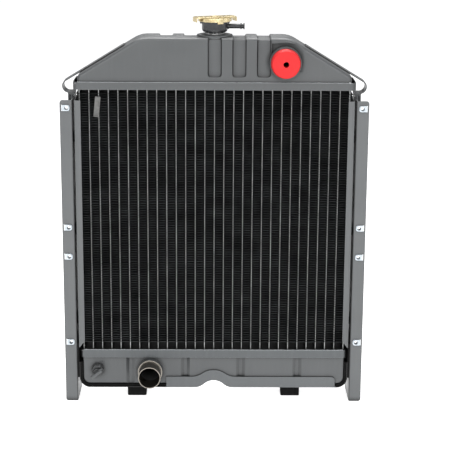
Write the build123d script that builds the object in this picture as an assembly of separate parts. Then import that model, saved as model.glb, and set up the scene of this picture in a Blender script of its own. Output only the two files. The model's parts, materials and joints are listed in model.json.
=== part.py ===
"""Tractor-size car radiator: brass and steel core, two tanks, side brackets, pressure cap and drain tap.

Millimetres, +Z up, front towards -Y. The origin is on the ground plane, midway between the side
brackets and midway between the front and rear faces of the brackets.
"""
from build123d import *
from math import atan2, cos, radians, tan
import os

# ---------------------------------------------------------------- driving dimensions
GAP = 0.1                     # soldered or assembled clearance between neighbouring pieces

# core
TUBE_PITCH = 16.0             # across the core
TUBE_COLUMNS = 29
TUBE_THICK = 2.4
TUBE_WIDE = 17.0              # front to back
TUBE_WALL = 0.5
TUBE_ROWS = {"front": -20.5, "middle": 0.0, "rear": 20.5}
TUBE_LOW, TUBE_HIGH = 88.5, 549.0
FIN_LOW, FIN_HIGH = 103.0, 541.0
FIN_HALF_WIDE = 229.5
FIN_HALF_DEEP = 32.0
FIN_LEAF = 0.6                # solid left round the tubes and on the pack's front and rear faces

# header pans, which the tanks are soldered into
HEADER_HALF_DEEP = 36.0
HEADER_WALL = 1.5
TOP_HEADER_HALF_WIDE = 234.0
TOP_HEADER_LOW, TOP_HEADER_HIGH = 545.0, 557.5
LOW_HEADER_HALF_WIDE = 231.0
LOW_HEADER_LOW, LOW_HEADER_HIGH = 78.5, 92.3
HEADER_CORNER = 9.0

# tanks
SHEET = 1.2
TANK_HALF_DEEP = 34.0
TANK_FOOT = 1.6               # height of the foot flange that sits in the header pan
TOP_TANK_HALF_WIDE = 226.6
TOP_TANK_SHOULDER = 568.0
TOP_TANK_FLAT_HALF = 124.0
TOP_TANK_TOP = 630.5
FACE_EDGE_RADIUS = 5.0
RIB_DEPTH = 3.2
RIB_SLOPE = 30.0              # how far the groove walls lean outwards
RIB_HALF_FLOOR = 9.9
RIB_CORNER = 4.5
RIB_PITCH = 40.5
RIB_LOW = 567.3
LOW_RIBS = (-143.5, -49.0, 47.0, 144.5)
LOW_RIB_DEPTH = 2.8
LOW_RIB_SLOPE = 62.0
LOW_RIB_HALF_FLOOR = 2.6
LOW_RIB_CORNER = 2.0
CRADLE_HALF_WIDE = 232.0
CRADLE_LOW = 24.0
CRADLE_SHEET = 1.4
CUSHION = 4.0
ARCH_RISE = 12.8
ARCH_FOOT = 23.6
ARCH_CROWN = 9.4
ARCH_RADIUS = 24.0
CRADLE_CORNER = 18.0
CRADLE_SIDE_TOP = 70.0
PACKING_TOP = 104.0
APRON_LEFT, APRON_RIGHT = -82.0, 210.5
APRON_TOP = 43.3
APRON_RISE = 12.3

# pipes
INLET_X, INLET_Z = 116.0, 592.0
INLET_RADIUS = 26.0
INLET_SPIGOT = 25.6           # the pipe is turned down where it passes through the tank's wall
INLET_MOUTH = -53.0
INLET_FOOT = -26.0
POCKET_LEFT, POCKET_RIGHT = 93.6, 146.0
POCKET_LOW, POCKET_HIGH = 576.0, 622.5
POCKET_DEPTH = 6.5
OUTLET_X, OUTLET_Z = -110.0, 53.3
OUTLET_RADIUS = 19.0
OUTLET_SPIGOT = 18.6
COLLAR_HIGH = 7.0
SHOULDER_GAP = 0.5
OUTLET_MOUTH = -70.0
PIPE_WALL = 1.2

# filler neck and cap, all about the upright axis through the origin
THROAT_RADIUS = 13.5
CUP_RADIUS = 21.6
CUP_WALL = 1.5
CUP_LOW = 637.0
NECK_TOP = 656.0
FLANGE_RADIUS = 25.0
FLANGE_THICK = 1.5
CAP_ANGLE = 20.0              # how far the cap's ears are turned from the X axis
HOOK_HALF_ANGLE = 10.0
NOTCH_HALF_ANGLE = 13.5
CAP_TURN = 85.0
CAP_DRAW = 1.2
SKIRT_INNER, SKIRT_OUTER = 26.6, 27.8
CAP_PLATE_LOW = 659.4
CAP_PLATE = 1.2
OVERFLOW_Z = 646.6
OVERFLOW_RADIUS = 4.0
OVERFLOW_END = 49.3

# drain tap on the bottom tank
DRAIN_X, DRAIN_Z = -200.5, 56.6
DRAIN_HEX = 17.0

# side brackets
WEB_INNER, WEB_THICK = 235.0, 2.5
BRACKET_HALF_DEEP = 38.5
BRACKET_TOP = 528.0
FLANGE_OUTER = 256.0
REAR_FLANGE_OUTER = 247.0
CLIP_X = 245.0
CLIP_HEIGHTS = (107.5, 260.0, 311.0, 515.0)
CLIP_THREAD_RADIUS = 2.5

# core side plates
PLATE_INNER, PLATE_OUTER = 222.0, 232.0
PLATE_SHEET = 1.5
PLATE_HALF_DEEP = 36.0
PLATE_LOW, PLATE_HIGH = 97.0, 527.0

# straps and hangers
STRAP_HALF_WIDE = 12.5
STRAP_THICK = 2.0
STRAP_START = 150.0
LOOP_X, LOOP_Z, LOOP_RADIUS = 241.9, 547.6, 10.7
HANGER_INNER = 242.0
HANGER_THICK = 2.3

# rubber feet
FOOT_X = 134.0
FOOT_WIDE, FOOT_DEEP = 33.0, 28.0
FOOT_SOCKET_RADIUS, FOOT_SOCKET_DEEP = 4.0, 7.0
FOOT_STUD_RADIUS, FOOT_STUD_LOW = 3.0, 10.0


# ---------------------------------------------------------------- helpers
def block(x0, x1, y0, y1, z0, z1):
    """Box between two corners."""
    return Pos((x0 + x1) / 2, (y0 + y1) / 2, (z0 + z1) / 2) * Box(x1 - x0, y1 - y0, z1 - z0)


def rod_x(y, z, radius, x0, x1):
    return Pos((x0 + x1) / 2, y, z) * Rot(0, 90, 0) * Cylinder(radius, x1 - x0)


def rod_y(x, z, radius, y0, y1):
    return Pos(x, (y0 + y1) / 2, z) * Rot(90, 0, 0) * Cylinder(radius, y1 - y0)


def rod_z(x, y, radius, z0, z1):
    return Pos(x, y, (z0 + z1) / 2) * Cylinder(radius, z1 - z0)


def ring_z(inner, outer, z0, z1):
    return rod_z(0, 0, outer, z0, z1) - rod_z(0, 0, inner, z0 - 1, z1 + 1)


def front_prism(face, y0, y1, taper=0.0):
    """Extrude a face drawn as (X, Z) from depth y1 forward to depth y0."""
    return Pos(0, y1, 0) * Rot(90, 0, 0) * extrude(face, y1 - y0, taper=taper)


def left_of(piece):
    """The left-hand copy of a right-hand piece."""
    return mirror(piece, about=Plane.YZ)


def sector(inner, outer, z0, z1, angle, half_angle):
    """Part of a ring about the neck axis, centred on a direction in degrees."""
    reach = outer * 2
    wedge = Polygon(
        (0, 0),
        Vector(reach, 0).rotate(Axis.Z, -half_angle),
        Vector(reach, 0).rotate(Axis.Z, half_angle),
        align=None,
    )
    cutter = Pos(0, 0, z0) * Rot(0, 0, angle) * extrude(wedge, z1 - z0)
    return ring_z(inner, outer, z0, z1) & cutter


def turned(points):
    """Solid of revolution about the neck axis from (radius, height) points."""
    face = make_face(Plane.XZ * Polyline(*points, close=True))
    return revolve(face, Axis.Z)


def floor_shift(inset, slope):
    """How far a groove's floor widens when its walls, leaning by slope, are moved out by inset."""
    lean = radians(slope)
    return inset * (1 / cos(lean) - tan(lean))


def groove(x, z0, z1, half_floor, floor_y, slope, corner):
    """Cutter for a pressed groove in a front face, with walls that lean outwards."""
    floor = Pos(x, (z0 + z1) / 2) * RectangleRounded(2 * half_floor, z1 - z0, corner)
    return front_prism(floor, floor_y - 9, floor_y, taper=-slope)


def top_groove(x, half_floor, floor_z, y0, y1):
    """Cutter for the upper tank's grooves where they run across its top."""
    rise = 12
    spread = half_floor + rise * tan(radians(RIB_SLOPE))
    section = Polygon(
        (x - half_floor, floor_z), (x + half_floor, floor_z),
        (x + spread, floor_z + rise), (x - spread, floor_z + rise), align=None,
    )
    return front_prism(section, y0, y1)


# ---------------------------------------------------------------- core
def tube_columns():
    middle = (TUBE_COLUMNS - 1) / 2
    return [(column - middle) * TUBE_PITCH for column in range(TUBE_COLUMNS)]


def tube_row(y, grow=0.0, low=TUBE_LOW, high=TUBE_HIGH):
    """Solid flat rods on one row of tube places."""
    section = Rot(0, 0, 90) * SlotOverall(TUBE_WIDE + 2 * grow, TUBE_THICK + 2 * grow)
    return [Pos(x, y, low) * extrude(section, high - low) for x in tube_columns()]


def tubes(y):
    """One row of hollow flat tubes."""
    outer = Rot(0, 0, 90) * SlotOverall(TUBE_WIDE, TUBE_THICK)
    inner = Rot(0, 0, 90) * SlotOverall(TUBE_WIDE - 2 * TUBE_WALL, TUBE_THICK - 2 * TUBE_WALL)
    tube = extrude(outer - inner, TUBE_HIGH - TUBE_LOW)
    return Compound([Pos(x, y, TUBE_LOW) * tube for x in tube_columns()])


def tube_slots(low, high):
    return [rod for y in TUBE_ROWS.values() for rod in tube_row(y, GAP, low, high)]


def fin_pack():
    """The fins as one block, with an open shaft between each pair of tube columns to save weight."""
    body = block(-FIN_HALF_WIDE, FIN_HALF_WIDE, -FIN_HALF_DEEP, FIN_HALF_DEEP, FIN_LOW, FIN_HIGH)
    half_shaft = (TUBE_PITCH - TUBE_THICK) / 2 - GAP - FIN_LEAF
    deep = FIN_HALF_DEEP - FIN_LEAF
    middles = [x + TUBE_PITCH / 2 for x in tube_columns()[:-1]]
    shafts = [block(x - half_shaft, x + half_shaft, -deep, deep, FIN_LOW - 1, FIN_HIGH + 1) for x in middles]
    return body - tube_slots(FIN_LOW - 1, FIN_HIGH + 1) - shafts


def pan_plan(half_wide, inset=0.0):
    """Rounded plan of a header pan, moved inwards."""
    return RectangleRounded(2 * (half_wide - inset), 2 * (HEADER_HALF_DEEP - inset), HEADER_CORNER - inset)


def header_pan(half_wide, low, high, floor_low):
    """Shallow pan with a rounded plan; its floor starts at floor_low."""
    hollow = pan_plan(half_wide, HEADER_WALL)
    pan = Pos(0, 0, low) * extrude(pan_plan(half_wide), high - low)
    above = Pos(0, 0, floor_low + HEADER_WALL) * extrude(hollow, high - low)
    below = Pos(0, 0, floor_low) * extrude(hollow, low - high)
    return pan - above - below - tube_slots(floor_low - 1, floor_low + HEADER_WALL + 1)


def top_header():
    return header_pan(TOP_HEADER_HALF_WIDE, TOP_HEADER_LOW, TOP_HEADER_HIGH, TOP_HEADER_LOW)


def bottom_header():
    floor_low = LOW_HEADER_HIGH - HEADER_WALL
    return header_pan(LOW_HEADER_HALF_WIDE, LOW_HEADER_LOW, LOW_HEADER_HIGH, floor_low)


def side_plate():
    """Right-hand core side plate: a channel open to the core, cut away at its lower front corner."""
    outer = block(PLATE_INNER, PLATE_OUTER, -PLATE_HALF_DEEP, PLATE_HALF_DEEP, PLATE_LOW, PLATE_HIGH)
    hollow = block(
        PLATE_INNER - 1, PLATE_OUTER - PLATE_SHEET,
        -PLATE_HALF_DEEP + PLATE_SHEET, PLATE_HALF_DEEP - PLATE_SHEET,
        PLATE_LOW - 1, PLATE_HIGH + 1,
    )
    corner = Polygon((PLATE_INNER - 1, PLATE_LOW - 1), (PLATE_OUTER - 0.6, PLATE_LOW - 1),
                     (PLATE_INNER - 1, PLATE_LOW + 13), align=None)
    return outer - hollow - front_prism(corner, -PLATE_HALF_DEEP - 1, PLATE_HALF_DEEP + 1)


def core_tag():
    """Blank sheet-metal tag on the front of the core, its foot bent forward."""
    profile = Polygon((-0.1, 15.5), (-0.6, 15.5), (-0.6, -15.3), (-2.8, -18.0), (-2.4, -18.3), (-0.1, -15.6),
                      align=None)
    tag = Pos(-4.5, 0, 0) * extrude(Plane.YZ * profile, 9)
    return Pos(-194.5, -FIN_HALF_DEEP, 517.5) * Rot(0, 6, 0) * tag


# ---------------------------------------------------------------- top tank
def top_tank_outline(inset):
    half = TOP_TANK_HALF_WIDE - inset
    slope_shift = inset * 0.56            # keeps the slanted walls one sheet thick
    face = Polygon(
        (-half, TOP_HEADER_LOW + HEADER_WALL),
        (half, TOP_HEADER_LOW + HEADER_WALL),
        (half, TOP_TANK_SHOULDER - slope_shift),
        (TOP_TANK_FLAT_HALF - inset * 0.28, TOP_TANK_TOP - inset),
        (-TOP_TANK_FLAT_HALF + inset * 0.28, TOP_TANK_TOP - inset),
        (-half, TOP_TANK_SHOULDER - slope_shift),
        align=None,
    )
    shoulders = [v for v in face.vertices() if abs(v.Y - TOP_TANK_SHOULDER) < 4]
    face = fillet(shoulders, 8 - inset)
    bends = [v for v in face.vertices() if v.Y > TOP_TANK_TOP - 4]
    return fillet(bends, 45 - inset)


def top_tank_form(inset):
    """The pressed tank as a solid, shrunk by inset on every side but its open foot."""
    face_y = TANK_HALF_DEEP - inset
    body = front_prism(top_tank_outline(inset), -face_y, face_y)
    low = TOP_HEADER_LOW + HEADER_WALL
    rims = [e for e in body.edges()
            if abs(abs(e.center().Y) - face_y) < 0.01 and e.center().Z > low + 1]
    body = fillet(rims, FACE_EDGE_RADIUS - inset)
    return body - top_tank_grooves(inset)


def top_tank_grooves(inset):
    """Three grooves on the front, five on the rear, all running over the top, and the inlet's pocket."""
    shift = floor_shift(inset, RIB_SLOPE)
    half_floor = RIB_HALF_FLOOR + shift
    floor_y = -TANK_HALF_DEEP + RIB_DEPTH + inset
    floor_z = TOP_TANK_TOP - RIB_DEPTH - inset
    cuts = []
    for step in (-2, -1, 0, 1, 2):
        x = step * RIB_PITCH
        cut = groove(x, RIB_LOW - shift, TOP_TANK_TOP + 40, half_floor, floor_y, RIB_SLOPE, RIB_CORNER)
        cuts.append(mirror(cut, about=Plane.XZ))
        if step >= 0:
            cuts.append(cut)
        front_end = -TANK_HALF_DEEP - 5 if step >= 0 else 4 - inset
        cuts.append(top_groove(x, half_floor, floor_z, front_end, TANK_HALF_DEEP + 5))
    neck_pad = rod_z(0, 0, 30 - inset, TOP_TANK_TOP - 20, TOP_TANK_TOP + 20)
    cuts = [cut - neck_pad for cut in cuts]
    cuts.append(inlet_pocket(inset))
    return cuts


def inlet_pocket(inset):
    """Cutter for the recess beside the inlet: deep along its left wall, running out on its right."""
    face_y = -TANK_HALF_DEEP + inset
    left, right = POCKET_LEFT - inset, POCKET_RIGHT
    low, high = POCKET_LOW - inset, POCKET_HIGH + inset
    plan = Polygon((left, face_y - 9), (right, face_y - 9), (right, face_y), (left, face_y + POCKET_DEPTH),
                   align=None)
    return Pos(0, 0, low) * extrude(plan, high - low)


def top_tank():
    shell = top_tank_form(0) - top_tank_form(SHEET)
    low = TOP_HEADER_LOW + HEADER_WALL
    foot_plan = pan_plan(TOP_HEADER_HALF_WIDE, HEADER_WALL + GAP)
    opening = Rectangle(2 * (TOP_TANK_HALF_WIDE - SHEET), 2 * (TANK_HALF_DEEP - SHEET))
    shell += Pos(0, 0, low) * extrude(foot_plan - opening, TANK_FOOT)
    shell -= rod_z(0, 0, THROAT_RADIUS + GAP, TOP_TANK_TOP - 8, TOP_TANK_TOP + 5)
    return shell - rod_y(INLET_X, INLET_Z, INLET_SPIGOT + GAP, -45, -20)


def inlet_pipe():
    pipe = rod_y(INLET_X, INLET_Z, INLET_RADIUS, INLET_MOUTH, -TANK_HALF_DEEP - SHOULDER_GAP)
    pipe += rod_y(INLET_X, INLET_Z, INLET_SPIGOT, INLET_MOUTH + 1, INLET_FOOT)
    return pipe - rod_y(INLET_X, INLET_Z, INLET_RADIUS - PIPE_WALL, INLET_MOUTH - 1, 0)


def inlet_plug():
    """Tapered red shipping plug: a hollow push-in skirt, a flange and a thick coned head."""
    head = Pos(0, 0, 0.3) * Cone(24.25, 22.6, 13, align=(Align.CENTER, Align.CENTER, Align.MIN))
    head += Pos(0, 0, 13.3) * Cone(22.6, 21.4, 1.4, align=(Align.CENTER, Align.CENTER, Align.MIN))
    skirt = Pos(0, 0, -16) * Cone(23.6, 24.2, 16.3, align=(Align.CENTER, Align.CENTER, Align.MIN))
    cavity = Pos(0, 0, -17) * Cylinder(20, 15, align=(Align.CENTER, Align.CENTER, Align.MIN))
    finger_hole = Cylinder(4.7, 60)
    plug = head + skirt - cavity - finger_hole
    return Pos(INLET_X, INLET_MOUTH, INLET_Z) * Rot(90, 0, 0) * plug


# ---------------------------------------------------------------- filler neck
def neck_saddle():
    """Low round boss between the tank's top and the neck."""
    low = TOP_TANK_TOP
    return turned([
        (THROAT_RADIUS + GAP, low), (30, low), (29.3, low + 1.6), (27.6, low + 2.8), (25, low + 3.3),
        (THROAT_RADIUS + GAP, low + 3.8),
    ])


def filler_neck():
    """Throat, cup and cam flange, with two notches, two cam ramps and two stops for the cap's hooks."""
    wall = CUP_WALL
    throat_low = TOP_TANK_TOP - 14
    outside = [
        (THROAT_RADIUS, throat_low), (THROAT_RADIUS, CUP_LOW - 0.9), (CUP_RADIUS - 4.4, CUP_LOW),
        (CUP_RADIUS - 1.9, CUP_LOW + 1.0), (CUP_RADIUS - 0.5, CUP_LOW + 2.6), (CUP_RADIUS, CUP_LOW + 4.6),
        (CUP_RADIUS, NECK_TOP - FLANGE_THICK),
        (FLANGE_RADIUS, NECK_TOP - FLANGE_THICK), (FLANGE_RADIUS, NECK_TOP),
    ]
    inside = [
        (CUP_RADIUS - wall, NECK_TOP), (CUP_RADIUS - wall, CUP_LOW + 5), (CUP_RADIUS - 2.6, CUP_LOW + 3.1),
        (CUP_RADIUS - 4.6, CUP_LOW + 1.8), (THROAT_RADIUS - wall, CUP_LOW + 1.8),
        (THROAT_RADIUS - wall, throat_low),
    ]
    neck = turned(outside + inside)
    under = NECK_TOP - FLANGE_THICK
    for half_turn in (0, 180):
        notch = CAP_ANGLE - 90 + half_turn
        neck -= sector(CUP_RADIUS + 0.6, FLANGE_RADIUS + 2, under - 1, NECK_TOP + 1, notch, NOTCH_HALF_ANGLE)
        steps = 8
        for step in range(steps):
            depth = CAP_DRAW * (step + 1) / steps
            half_angle = (CAP_TURN + HOOK_HALF_ANGLE - NOTCH_HALF_ANGLE) / steps / 2
            angle = notch - NOTCH_HALF_ANGLE - half_angle * (2 * step + 1)
            neck += sector(CUP_RADIUS + 1.6, FLANGE_RADIUS, under - depth, under, angle, half_angle)
        stop = notch - CAP_TURN - HOOK_HALF_ANGLE - 3.5
        neck += sector(CUP_RADIUS - 0.5, FLANGE_RADIUS, under - 3.4, under, stop, 2)
    return neck - rod_x(0, OVERFLOW_Z, OVERFLOW_RADIUS + GAP, CUP_RADIUS - 8, CUP_RADIUS + 4)


def overflow_pipe():
    start = CUP_RADIUS - CUP_WALL
    pipe = rod_x(0, OVERFLOW_Z, OVERFLOW_RADIUS, start, OVERFLOW_END)
    for x in (OVERFLOW_END - 7, OVERFLOW_END - 2):
        bead = rod_x(0, OVERFLOW_Z, OVERFLOW_RADIUS + 1.5, x, x + 2)
        pipe += fillet(bead.edges().filter_by(GeomType.CIRCLE), 0.8)
    collar = rod_x(0, OVERFLOW_Z, OVERFLOW_RADIUS + 0.9, CUP_RADIUS + 0.2, CUP_RADIUS + 1.8)
    return pipe + collar - rod_x(0, OVERFLOW_Z, OVERFLOW_RADIUS - 1, start - 1, OVERFLOW_END + 1)


# ---------------------------------------------------------------- pressure cap
def upper_gasket():
    return ring_z(CUP_RADIUS - 1.2, FLANGE_RADIUS - 0.6, NECK_TOP, NECK_TOP + 1.2)


def cap_diaphragm():
    return ring_z(3.4, FLANGE_RADIUS - 0.6, NECK_TOP + 1.2, NECK_TOP + 1.6)


def cap_shell():
    """Pressed shell with a raised bar, two turned-down ears and two hooks at right angles to them."""
    top = CAP_PLATE_LOW + CAP_PLATE
    skirt_low = NECK_TOP - 0.8
    shell = ring_z(2.6, SKIRT_OUTER, CAP_PLATE_LOW, top) + ring_z(SKIRT_INNER, SKIRT_OUTER, skirt_low, top)
    rim = [e for e in shell.edges().filter_by(GeomType.CIRCLE)
           if abs(e.radius - SKIRT_OUTER) < 0.01 and e.center().Z > top - 0.1]
    shell = fillet(rim, 1.0)
    bar_outline = RectangleRounded(71, 25, 7) - Circle(9)
    bar = Pos(0, 0, top) * extrude(bar_outline, 2.0)
    shell += fillet(bar.faces().sort_by(Axis.Z)[-1].edges(), 0.8)
    for side in (-1, 1):
        ear = Pos(side * 31.6, 0, 0) * block(-3.9, 3.9, -9, 9, NECK_TOP - 1.5, top + 1)
        ear -= Pos(side * 30.1, 0, 0) * block(-3.9, 3.9, -10, 10, NECK_TOP - 2, top - 0.2)
        shell += ear
    hook_low = NECK_TOP - FLANGE_THICK - 1.9
    for half_turn in (90, 270):
        shell += sector(SKIRT_INNER, SKIRT_OUTER, hook_low, skirt_low + 0.5, half_turn, HOOK_HALF_ANGLE)
        shell += sector(CUP_RADIUS + 1.2, SKIRT_OUTER, hook_low, hook_low + 1.3, half_turn, HOOK_HALF_ANGLE)
    return Rot(0, 0, CAP_ANGLE) * shell


def cap_stem():
    """Rivet that hangs the valve from the shell, with a captive lower head."""
    top = CAP_PLATE_LOW + CAP_PLATE
    stem = rod_z(0, 0, 2.5, 650, top + 1.6)
    return stem + rod_z(0, 0, 5, 649.5, 651) + fillet(
        rod_z(0, 0, 5, top, top + 1.6).edges().filter_by(GeomType.CIRCLE).sort_by(Axis.Z)[-1], 0.9)


def valve_bell():
    """Inverted cup on the valve plate that the stem's head pulls on."""
    return ring_z(7, 8, 641.9, 654) + ring_z(3.3, 7.5, 653, 654)


def valve_plate():
    return ring_z(2.2, 16.5, 640.8, 641.9) + ring_z(15.6, 16.5, 640.8, 643.4)


def valve_seal():
    return ring_z(12.4, 17, CUP_LOW + 1.8, 640.8)


def vacuum_valve():
    """Small disc valve under the plate, with its stem and spring clip above it."""
    return rod_z(0, 0, 6, 639.4, 640.7) + rod_z(0, 0, 1.5, 640, 645) + rod_z(0, 0, 3, 644.2, 645)


def coil(radius, wire, low, high, turns):
    """Coil spring between two heights, measured over its wire."""
    rise = high - low - wire
    path = Pos(0, 0, low + wire / 2) * Helix(rise / turns, rise, radius)
    section = Plane(path @ 0, z_dir=path % 0) * Circle(wire / 2)
    return sweep(section, path, is_frenet=True)


def pressure_spring():
    return coil(12.0, 2.0, 642.0, NECK_TOP + 1.1, 4.5)


def vacuum_spring():
    return coil(2.6, 0.5, 642.0, 644.1, 3)


# ---------------------------------------------------------------- bottom tank and its cradle
def cradle_outline(inset=0.0):
    """Outline of the cradle sheet's outer face as (X, Z), moved inwards, with the arch for the shaft."""
    half, low, top = CRADLE_HALF_WIDE - inset, CRADLE_LOW + inset, 150.0
    shift = inset * tan(atan2(ARCH_RISE, ARCH_FOOT - ARCH_CROWN) / 2)
    arch_foot, crown = ARCH_FOOT + shift, ARCH_CROWN + shift
    face = Polygon(
        (-half, top), (-half, low), (-arch_foot, low), (-crown, low + ARCH_RISE),
        (crown, low + ARCH_RISE), (arch_foot, low), (half, low), (half, top), align=None,
    )
    corners = [v for v in face.vertices() if abs(v.X) > half - 1 and v.Y < low + 1]
    face = fillet(corners, CRADLE_CORNER - inset)
    feet = [v for v in face.vertices() if abs(abs(v.X) - arch_foot) < 0.1]
    face = fillet(feet, ARCH_RADIUS - inset)
    crowns = [v for v in face.vertices() if abs(abs(v.X) - crown) < 0.1]
    return fillet(crowns, ARCH_RADIUS + inset)


def below(face, height):
    """The part of an (X, Z) face below a height."""
    return face & Pos(0, height - 250) * Rectangle(1000, 500)


def low_tank_form(inset):
    """The pressed bottom tank as a solid, shrunk by inset on every side but its open top."""
    face_y = TANK_HALF_DEEP - inset
    top = LOW_HEADER_HIGH - HEADER_WALL
    outline = below(cradle_outline(CRADLE_SHEET + CUSHION + inset), top)
    body = front_prism(outline, -face_y, face_y)
    rims = [e for e in body.edges() if abs(abs(e.center().Y) - face_y) < 0.01 and e.center().Z < top - 1]
    body = fillet(rims, 4.0 - inset)
    half_floor = LOW_RIB_HALF_FLOOR + floor_shift(inset, LOW_RIB_SLOPE)
    floor_y = -TANK_HALF_DEEP + LOW_RIB_DEPTH + inset
    for x in LOW_RIBS:
        cut = groove(x, CRADLE_LOW - 30, 82, half_floor, floor_y, LOW_RIB_SLOPE, LOW_RIB_CORNER)
        body -= cut
        body -= mirror(cut, about=Plane.XZ)
    return body


def bottom_tank():
    shell = low_tank_form(0) - low_tank_form(SHEET)
    top = LOW_HEADER_HIGH - HEADER_WALL
    foot_plan = pan_plan(LOW_HEADER_HALF_WIDE, HEADER_WALL + GAP)
    tank_half = CRADLE_HALF_WIDE - CRADLE_SHEET - CUSHION
    opening = Rectangle(2 * (tank_half - SHEET), 2 * (TANK_HALF_DEEP - SHEET))
    shell += Pos(0, 0, top - TANK_FOOT) * extrude(foot_plan - opening, TANK_FOOT)
    shell -= rod_y(OUTLET_X, OUTLET_Z, OUTLET_SPIGOT + GAP, -50, -20)
    return shell - rod_y(DRAIN_X, DRAIN_Z, 5.1, -50, -20)


def outlet_collar():
    """Coned collar brazed round the foot of the outlet pipe."""
    collar = Pos(OUTLET_X, -TANK_HALF_DEEP, OUTLET_Z) * Rot(90, 0, 0) * Cone(
        22.6, 21.2, COLLAR_HIGH, align=(Align.CENTER, Align.CENTER, Align.MIN))
    lip = collar.edges().filter_by(GeomType.CIRCLE).sort_by(Axis.Y)[0]
    return fillet(lip, 1.2) - rod_y(OUTLET_X, OUTLET_Z, OUTLET_SPIGOT + GAP / 2, -50, -20)


def outlet_pipe():
    collar_face = -TANK_HALF_DEEP - COLLAR_HIGH
    pipe = rod_y(OUTLET_X, OUTLET_Z, OUTLET_RADIUS, OUTLET_MOUTH, collar_face - SHOULDER_GAP)
    pipe += rod_y(OUTLET_X, OUTLET_Z, OUTLET_SPIGOT, OUTLET_MOUTH + 1, -TANK_HALF_DEEP + SHEET)
    return pipe - rod_y(OUTLET_X, OUTLET_Z, OUTLET_RADIUS - PIPE_WALL, OUTLET_MOUTH - 1, 0)


def bottom_cushion():
    """Rubber strip between the tank and the cradle, under the tank and up both its ends."""
    outer = cradle_outline(CRADLE_SHEET)
    inner = cradle_outline(CRADLE_SHEET + CUSHION)
    return front_prism(below(outer - inner, CRADLE_SIDE_TOP), -TANK_HALF_DEEP, TANK_HALF_DEEP)


def apron_face():
    """Front apron of the cradle: an arched strip whose lower edge follows the cradle."""
    crown, foot = 10.7, 28.3
    top = APRON_TOP
    strip = Polygon(
        (APRON_LEFT, CRADLE_LOW - 5), (APRON_LEFT, top), (-foot, top), (-crown, top + APRON_RISE),
        (crown, top + APRON_RISE), (foot, top), (APRON_RIGHT, top), (APRON_RIGHT, CRADLE_LOW - 5), align=None,
    )
    bends = [v for v in strip.vertices() if abs(v.X) < foot + 1]
    strip = fillet(bends, 33)
    strip = fillet([v for v in strip.vertices() if v.X > APRON_RIGHT - 1 and v.Y > top - 1], 6.5)
    return strip & cradle_outline()


def cradle():
    sheet = below(cradle_outline() - cradle_outline(CRADLE_SHEET), CRADLE_SIDE_TOP)
    base = front_prism(sheet, -HEADER_HALF_DEEP, HEADER_HALF_DEEP)
    apron = front_prism(apron_face(), -HEADER_HALF_DEEP - 1.5, -HEADER_HALF_DEEP)
    body = base + apron
    for side in (-1, 1):
        for y in (-16, 16):
            body -= rod_x(y, 55, 3.05, side * 234 - 6, side * 234 + 6)
    return body


def cradle_rivets():
    """Four rivets, each from outside the bracket's web to the inner face of the cradle's upright."""
    inner = CRADLE_HALF_WIDE - CRADLE_SHEET
    web_outer = WEB_INNER + WEB_THICK
    rivets = []
    for y in (-16, 16):
        rivet = rod_x(y, 55, 3, inner, web_outer + 1) + rod_x(y, 55, 6, web_outer, web_outer + 2.6)
        head = [e for e in rivet.edges().filter_by(GeomType.CIRCLE) if e.center().X > web_outer + 2.5]
        rivet = fillet(head, 1.6)
        rivets += [rivet, left_of(rivet)]
    return Compound(rivets)


def end_packings():
    """Rubber strips between the cradle's uprights and the brackets' webs."""
    strip = block(CRADLE_HALF_WIDE, WEB_INNER, -HEADER_HALF_DEEP, HEADER_HALF_DEEP,
                  CRADLE_LOW + CRADLE_CORNER, PACKING_TOP)
    for y in (-16, 16):
        strip -= rod_x(y, 55, 3.05, 220, 240)
    return Compound([strip, left_of(strip)])


# ---------------------------------------------------------------- drain tap
def drain_boss():
    boss = rod_y(DRAIN_X, DRAIN_Z, 10.5, -38, -TANK_HALF_DEEP)
    return boss - rod_y(DRAIN_X, DRAIN_Z, 5.1, -40, -30)


def drain_body():
    """Hexagon tap body with its threaded bore and the shank through the tank wall."""
    hexagon = Pos(DRAIN_X, DRAIN_Z) * RegularPolygon(DRAIN_HEX / 2, 6, major_radius=False)
    body = front_prism(hexagon, -47, -38) + rod_y(DRAIN_X, DRAIN_Z, 5, -38, -28)
    body -= rod_y(DRAIN_X, DRAIN_Z, 3.6, -48, -34)
    return body - rod_y(DRAIN_X, DRAIN_Z, 2, -36, -20)


def drain_tip():
    """Soft tip on the spindle's end that seals the bore; it doesn't turn."""
    return rod_y(DRAIN_X, DRAIN_Z, 3.3, -37, -34)


def drain_tap():
    """Spindle with a two-sided wing, set slanting."""
    spindle = rod_y(0, 0, 3.5, -57, -37) + rod_y(0, 0, 6, -54, -50)
    wing_outline = RectangleRounded(25, 11, 3.5)
    wing = Pos(0, 0, -2.4) * extrude(wing_outline, 4.8)
    tap = spindle + Pos(0, -57, 0) * fillet(wing.edges().filter_by(GeomType.CIRCLE), 1.2)
    return Pos(DRAIN_X, 0, DRAIN_Z) * Rot(0, -37, 0) * tap


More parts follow.
